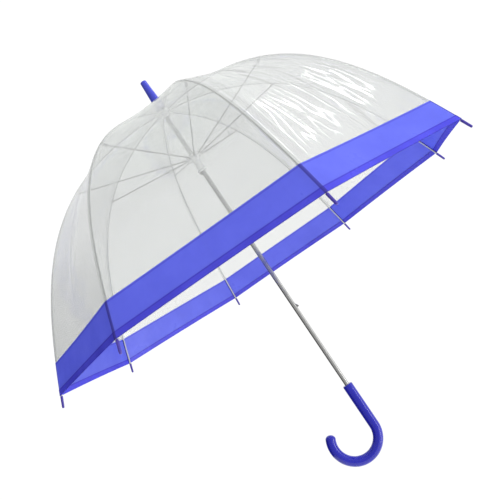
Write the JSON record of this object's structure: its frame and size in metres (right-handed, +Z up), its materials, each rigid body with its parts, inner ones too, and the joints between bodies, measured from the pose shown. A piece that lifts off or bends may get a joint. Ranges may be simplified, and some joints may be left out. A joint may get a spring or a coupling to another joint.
{
  "type": "umbrella",
  "caption": "Child's dome umbrella, open: clear film canopy with a blue border, folding ribs with stretchers on a sliding runner, metal shaft, blue crook handle and ferrule",
  "frame": {"origin": "on the shaft's axis, in the middle of the handle's straight grip", "axes": "+Z runs up the shaft to the ferrule, and the crook opens towards -X"},
  "size_m": [0.6924, 0.6924, 0.6779],
  "materials": {
    "chrome": "bright plated steel tube",
    "handle_blue": "glossy violet-blue moulded plastic",
    "white_plastic": "white moulded plastic",
    "spring_steel": "bent spring steel",
    "rib_steel": "white-coated steel wire",
    "tip_blue": "blue-violet moulded plastic",
    "clear_film": "clear, slightly cloudy flexible PVC film",
    "border_film": "translucent blue flexible PVC film"
  },
  "bodies": {
    "frame": {"shaft": "chrome", "handle": "handle_blue", "ferrule": "handle_blue", "top_notch": "white_plastic"},
    "runner": {"runner": "white_plastic"},
    "top_catch": {"top_catch": "spring_steel"},
    "bottom_catch": {"bottom_catch": "spring_steel"},
    "rib_upper_1": {"rib_upper_1": "rib_steel", "crown_panel_1": "clear_film"},
    "rib_lower_1": {"rib_lower_1": "rib_steel", "rib_tip_1": "tip_blue", "side_panel_1": "clear_film", "border_1": "border_film"},
    "stretcher_1": {"stretcher_1": "rib_steel"},
    "rib_upper_2": {"rib_upper_2": "rib_steel"},
    "rib_lower_2": {"rib_lower_2": "rib_steel", "rib_tip_2": "tip_blue", "side_panel_2": "clear_film", "border_2": "border_film"},
    "stretcher_2": {"stretcher_2": "rib_steel"},
    "rib_upper_3": {"rib_upper_3": "rib_steel", "crown_panel_2": "clear_film"},
    "rib_lower_3": {"rib_lower_3": "rib_steel", "rib_tip_3": "tip_blue", "side_panel_3": "clear_film", "border_3": "border_film"},
    "stretcher_3": {"stretcher_3": "rib_steel"},
    "rib_upper_4": {"rib_upper_4": "rib_steel"},
    "rib_lower_4": {"rib_lower_4": "rib_steel", "rib_tip_4": "tip_blue", "side_panel_4": "clear_film", "border_4": "border_film"},
    "stretcher_4": {"stretcher_4": "rib_steel"},
    "rib_upper_5": {"rib_upper_5": "rib_steel", "crown_panel_3": "clear_film"},
    "rib_lower_5": {"rib_lower_5": "rib_steel", "rib_tip_5": "tip_blue", "side_panel_5": "clear_film", "border_5": "border_film"},
    "stretcher_5": {"stretcher_5": "rib_steel"},
    "rib_upper_6": {"rib_upper_6": "rib_steel"},
    "rib_lower_6": {"rib_lower_6": "rib_steel", "rib_tip_6": "tip_blue", "side_panel_6": "clear_film", "border_6": "border_film"},
    "stretcher_6": {"stretcher_6": "rib_steel"},
    "rib_upper_7": {"rib_upper_7": "rib_steel", "crown_panel_4": "clear_film"},
    "rib_lower_7": {"rib_lower_7": "rib_steel", "rib_tip_7": "tip_blue", "side_panel_7": "clear_film", "border_7": "border_film"},
    "stretcher_7": {"stretcher_7": "rib_steel"},
    "rib_upper_8": {"rib_upper_8": "rib_steel"},
    "rib_lower_8": {"rib_lower_8": "rib_steel", "rib_tip_8": "tip_blue", "side_panel_8": "clear_film", "border_8": "border_film"},
    "stretcher_8": {"stretcher_8": "rib_steel"}
  },
  "joints": [
    {"name": "runner_slide", "type": "slide", "parent": "frame", "child": "runner", "axis": [0, 0, -1], "range_m": [0, 0.2621], "deforming": ["border_1", "border_2", "border_3", "border_4", "border_5", "border_6", "border_7", "border_8", "crown_panel_1", "crown_panel_2", "crown_panel_3", "crown_panel_4", "side_panel_1", "side_panel_2", "side_panel_3", "side_panel_4", "side_panel_5", "side_panel_6", "side_panel_7", "side_panel_8"]},
    {"name": "rib_fold_1", "type": "hinge", "parent": "frame", "child": "rib_upper_1", "pos_m": [0.00968, 0.00249, 0.54], "axis": [-0.2495, 0.9684, 0], "range_deg": [0, 72.02]},
    {"name": "rib_flex_1", "type": "hinge", "parent": "rib_upper_1", "child": "rib_lower_1", "pos_m": [0.17784, 0.04583, 0.49539], "axis": [-0.2495, 0.9684, 0], "range_deg": [-43.12, 0]},
    {"name": "stretcher_pin_1", "type": "hinge", "parent": "rib_upper_1", "child": "stretcher_1", "pos_m": [0.17326, 0.04465, 0.49334], "axis": [-0.2495, 0.9684, 0], "range_deg": [-146.26, 0]},
    {"name": "rib_fold_2", "type": "hinge", "parent": "frame", "child": "rib_upper_2", "pos_m": [0.00508, 0.00861, 0.54], "axis": [-0.8612, 0.5083, 0], "range_deg": [0, 72.02]},
    {"name": "rib_flex_2", "type": "hinge", "parent": "rib_upper_2", "child": "rib_lower_2", "pos_m": [0.09335, 0.15816, 0.49539], "axis": [-0.8612, 0.5083, 0], "range_deg": [-43.12, 0]},
    {"name": "stretcher_pin_2", "type": "hinge", "parent": "rib_upper_2", "child": "stretcher_2", "pos_m": [0.09094, 0.15409, 0.49334], "axis": [-0.8612, 0.5083, 0], "range_deg": [-146.26, 0]},
    {"name": "rib_fold_3", "type": "hinge", "parent": "frame", "child": "rib_upper_3", "pos_m": [-0.00249, 0.00968, 0.54], "axis": [-0.9684, -0.2495, 0], "range_deg": [0, 72.02]},
    {"name": "rib_flex_3", "type": "hinge", "parent": "rib_upper_3", "child": "rib_lower_3", "pos_m": [-0.04583, 0.17784, 0.49539], "axis": [-0.9684, -0.2495, 0], "range_deg": [-43.12, 0]},
    {"name": "stretcher_pin_3", "type": "hinge", "parent": "rib_upper_3", "child": "stretcher_3", "pos_m": [-0.04465, 0.17326, 0.49334], "axis": [-0.9684, -0.2495, 0], "range_deg": [-146.26, 0]},
    {"name": "rib_fold_4", "type": "hinge", "parent": "frame", "child": "rib_upper_4", "pos_m": [-0.00861, 0.00508, 0.54], "axis": [-0.5083, -0.8612, 0], "range_deg": [0, 72.02]},
    {"name": "rib_flex_4", "type": "hinge", "parent": "rib_upper_4", "child": "rib_lower_4", "pos_m": [-0.15816, 0.09335, 0.49539], "axis": [-0.5083, -0.8612, 0], "range_deg": [-43.12, 0]},
    {"name": "stretcher_pin_4", "type": "hinge", "parent": "rib_upper_4", "child": "stretcher_4", "pos_m": [-0.15409, 0.09094, 0.49334], "axis": [-0.5083, -0.8612, 0], "range_deg": [-146.26, 0]},
    {"name": "rib_fold_5", "type": "hinge", "parent": "frame", "child": "rib_upper_5", "pos_m": [-0.00968, -0.00249, 0.54], "axis": [0.2495, -0.9684, 0], "range_deg": [0, 72.02]},
    {"name": "rib_flex_5", "type": "hinge", "parent": "rib_upper_5", "child": "rib_lower_5", "pos_m": [-0.17784, -0.04583, 0.49539], "axis": [0.2495, -0.9684, 0], "range_deg": [-43.12, 0]},
    {"name": "stretcher_pin_5", "type": "hinge", "parent": "rib_upper_5", "child": "stretcher_5", "pos_m": [-0.17326, -0.04465, 0.49334], "axis": [0.2495, -0.9684, 0], "range_deg": [-146.26, 0]},
    {"name": "rib_fold_6", "type": "hinge", "parent": "frame", "child": "rib_upper_6", "pos_m": [-0.00508, -0.00861, 0.54], "axis": [0.8612, -0.5083, 0], "range_deg": [0, 72.02]},
    {"name": "rib_flex_6", "type": "hinge", "parent": "rib_upper_6", "child": "rib_lower_6", "pos_m": [-0.09335, -0.15816, 0.49539], "axis": [0.8612, -0.5083, 0], "range_deg": [-43.12, 0]},
    {"name": "stretcher_pin_6", "type": "hinge", "parent": "rib_upper_6", "child": "stretcher_6", "pos_m": [-0.09094, -0.15409, 0.49334], "axis": [0.8612, -0.5083, 0], "range_deg": [-146.26, 0]},
    {"name": "rib_fold_7", "type": "hinge", "parent": "frame", "child": "rib_upper_7", "pos_m": [0.00249, -0.00968, 0.54], "axis": [0.9684, 0.2495, 0], "range_deg": [0, 72.02]},
    {"name": "rib_flex_7", "type": "hinge", "parent": "rib_upper_7", "child": "rib_lower_7", "pos_m": [0.04583, -0.17784, 0.49539], "axis": [0.9684, 0.2495, 0], "range_deg": [-43.12, 0]},
    {"name": "stretcher_pin_7", "type": "hinge", "parent": "rib_upper_7", "child": "stretcher_7", "pos_m": [0.04465, -0.17326, 0.49334], "axis": [0.9684, 0.2495, 0], "range_deg": [-146.26, 0]},
    {"name": "rib_fold_8", "type": "hinge", "parent": "frame", "child": "rib_upper_8", "pos_m": [0.00861, -0.00508, 0.54], "axis": [0.5083, 0.8612, 0], "range_deg": [0, 72.02]},
    {"name": "rib_flex_8", "type": "hinge", "parent": "rib_upper_8", "child": "rib_lower_8", "pos_m": [0.15816, -0.09335, 0.49539], "axis": [0.5083, 0.8612, 0], "range_deg": [-43.12, 0]},
    {"name": "stretcher_pin_8", "type": "hinge", "parent": "rib_upper_8", "child": "stretcher_8", "pos_m": [0.15409, -0.09094, 0.49334], "axis": [0.5083, 0.8612, 0], "range_deg": [-146.26, 0]},
    {"name": "top_catch_press", "type": "hinge", "parent": "frame", "child": "top_catch", "pos_m": [0, 0, 0.4075], "axis": [0.14, 0.9901, 0], "range_deg": [0, 8.7], "stiffness_Nm_per_rad": 0.05, "springref_deg": -2.86},
    {"name": "bottom_catch_press", "type": "hinge", "parent": "frame", "child": "bottom_catch", "pos_m": [0, 0, 0.1917], "axis": [0.14, 0.9901, 0], "range_deg": [0, 8.7], "stiffness_Nm_per_rad": 0.05, "springref_deg": -2.86}
  ],
  "couplings": [
    {"joint": "rib_fold_1", "follows": "runner_slide", "rad_per_m": 4.7945},
    {"joint": "rib_flex_1", "follows": "runner_slide", "rad_per_m": -2.87},
    {"joint": "stretcher_pin_1", "follows": "runner_slide", "rad_per_m": -9.7382},
    {"joint": "rib_fold_2", "follows": "runner_slide", "rad_per_m": 4.7945},
    {"joint": "rib_flex_2", "follows": "runner_slide", "rad_per_m": -2.87},
    {"joint": "stretcher_pin_2", "follows": "runner_slide", "rad_per_m": -9.7382},
    {"joint": "rib_fold_3", "follows": "runner_slide", "rad_per_m": 4.7945},
    {"joint": "rib_flex_3", "follows": "runner_slide", "rad_per_m": -2.87},
    {"joint": "stretcher_pin_3", "follows": "runner_slide", "rad_per_m": -9.7382},
    {"joint": "rib_fold_4", "follows": "runner_slide", "rad_per_m": 4.7945},
    {"joint": "rib_flex_4", "follows": "runner_slide", "rad_per_m": -2.87},
    {"joint": "stretcher_pin_4", "follows": "runner_slide", "rad_per_m": -9.7382},
    {"joint": "rib_fold_5", "follows": "runner_slide", "rad_per_m": 4.7945},
    {"joint": "rib_flex_5", "follows": "runner_slide", "rad_per_m": -2.87},
    {"joint": "stretcher_pin_5", "follows": "runner_slide", "rad_per_m": -9.7382},
    {"joint": "rib_fold_6", "follows": "runner_slide", "rad_per_m": 4.7945},
    {"joint": "rib_flex_6", "follows": "runner_slide", "rad_per_m": -2.87},
    {"joint": "stretcher_pin_6", "follows": "runner_slide", "rad_per_m": -9.7382},
    {"joint": "rib_fold_7", "follows": "runner_slide", "rad_per_m": 4.7945},
    {"joint": "rib_flex_7", "follows": "runner_slide", "rad_per_m": -2.87},
    {"joint": "stretcher_pin_7", "follows": "runner_slide", "rad_per_m": -9.7382},
    {"joint": "rib_fold_8", "follows": "runner_slide", "rad_per_m": 4.7945},
    {"joint": "rib_flex_8", "follows": "runner_slide", "rad_per_m": -2.87},
    {"joint": "stretcher_pin_8", "follows": "runner_slide", "rad_per_m": -9.7382}
  ]
}
